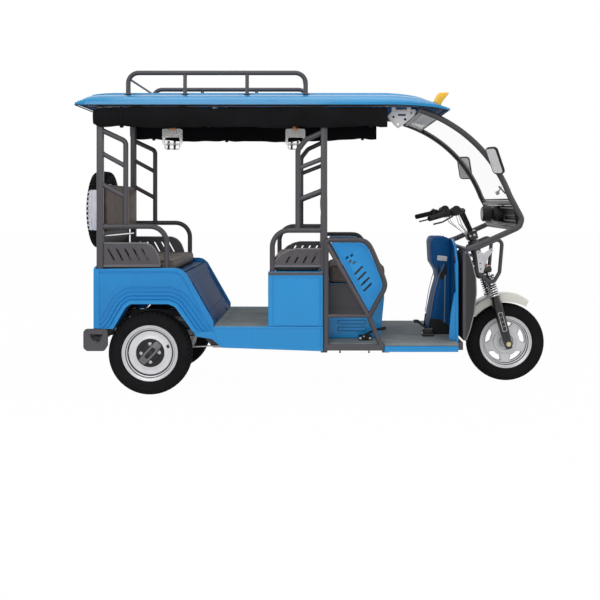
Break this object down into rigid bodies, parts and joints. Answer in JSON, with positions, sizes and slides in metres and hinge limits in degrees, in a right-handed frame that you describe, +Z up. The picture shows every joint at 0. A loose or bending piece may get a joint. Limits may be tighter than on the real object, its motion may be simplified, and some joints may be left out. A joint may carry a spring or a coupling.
{
  "type": "electric rickshaw",
  "caption": "Three-wheeled electric passenger rickshaw with a blue sheet-metal body, roof with luggage rack, facing bench seats, front screen and handlebar steering.",
  "frame": {"origin": "on the ground, under the middle of the vehicle's overall length and width", "axes": "+X forward, +Y to the vehicle's left, +Z up"},
  "size_m": [2.934, 1.169, 1.929],
  "materials": {
    "body_blue": "gloss blue paint",
    "frame_grey": "satin dark grey powder coat",
    "floor_mat": "matt grey-green ribbed mat",
    "seat_vinyl": "taupe and brown seat covering",
    "curtain_cloth": "black coated cloth",
    "tyre_rubber": "black tyre rubber",
    "rim_silver": "silver painted steel",
    "black_plastic": "black moulded plastic",
    "screen_clear": "clear front screen",
    "lamp_lens": "clear lamp lens",
    "fender_cream": "cream white paint",
    "amber_lens": "amber lamp plastic",
    "fork_black": "black painted steel",
    "strap_orange": "clear handles on orange belts"
  },
  "bodies": {
    "chassis": {"back_panel": "body_blue", "battery_pack": "black_plastic", "brake_pedal": "black_plastic", "centre_backrest": "seat_vinyl", "centre_bench_cushion": "seat_vinyl", "centre_pillar_left": "frame_grey", "centre_pillar_right": "frame_grey", "centre_seat_box": "body_blue", "chassis_frame": "frame_grey", "curtain_left": "curtain_cloth", "curtain_right": "curtain_cloth", "driver_floor": "floor_mat", "driver_guard_left": "frame_grey", "driver_guard_panel_left": "body_blue", "driver_guard_panel_right": "body_blue", "driver_guard_right": "frame_grey", "driver_seat_base": "body_blue", "driver_seat_cushion": "seat_vinyl", "front_apron": "frame_grey", "hand_brake": "black_plastic", "headlamp": "lamp_lens", "instrument_dial": "black_plastic", "leg_shield": "body_blue", "mirror_left": "black_plastic", "mirror_right": "black_plastic", "nose_panel": "black_plastic", "passenger_floor": "body_blue", "rear_axle": "fork_black", "rear_backrest": "seat_vinyl", "rear_bench_cushion": "seat_vinyl", "rear_bumper": "frame_grey", "rear_pillar_left": "frame_grey", "rear_pillar_right": "frame_grey", "rear_side_panel_left": "body_blue", "rear_side_panel_right": "body_blue", "rear_tub": "body_blue", "roof_frame": "frame_grey", "roof_lamp_left": "amber_lens", "roof_lamp_right": "amber_lens", "roof_rack": "frame_grey", "roof_shell": "body_blue", "roof_crown": "body_blue", "roof_visor": "body_blue", "spare_carrier": "frame_grey", "spare_rim": "rim_silver", "spare_tyre": "tyre_rubber", "steering_head": "frame_grey", "strap_handles": "strap_orange", "windshield": "screen_clear", "windshield_frame": "frame_grey"},
    "steering": {"fork": "fork_black", "front_fender": "fender_cream", "handlebar": "black_plastic"},
    "front_wheel": {"front_rim": "rim_silver", "front_tyre": "tyre_rubber"},
    "rear_wheel_left": {"rear_rim_left": "rim_silver", "rear_tyre_left": "tyre_rubber"},
    "rear_wheel_right": {"rear_rim_right": "rim_silver", "rear_tyre_right": "tyre_rubber"}
  },
  "joints": [
    {"name": "steering_turn", "type": "hinge", "parent": "chassis", "child": "steering", "pos_m": [1.19501, 0, 0.2475], "axis": [-0.2672, 0, 0.9636], "range_deg": [-40, 40]},
    {"name": "front_wheel_spin", "type": "hinge", "parent": "steering", "child": "front_wheel", "pos_m": [1.2195, 0, 0.2475], "axis": [0, 1, 0], "continuous": true},
    {"name": "rear_wheel_left_spin", "type": "hinge", "parent": "chassis", "child": "rear_wheel_left", "pos_m": [-0.973, 0.41, 0.2475], "axis": [0, 1, 0], "continuous": true},
    {"name": "rear_wheel_right_spin", "type": "hinge", "parent": "chassis", "child": "rear_wheel_right", "pos_m": [-0.973, -0.41, 0.2475], "axis": [0, 1, 0], "continuous": true}
  ]
}
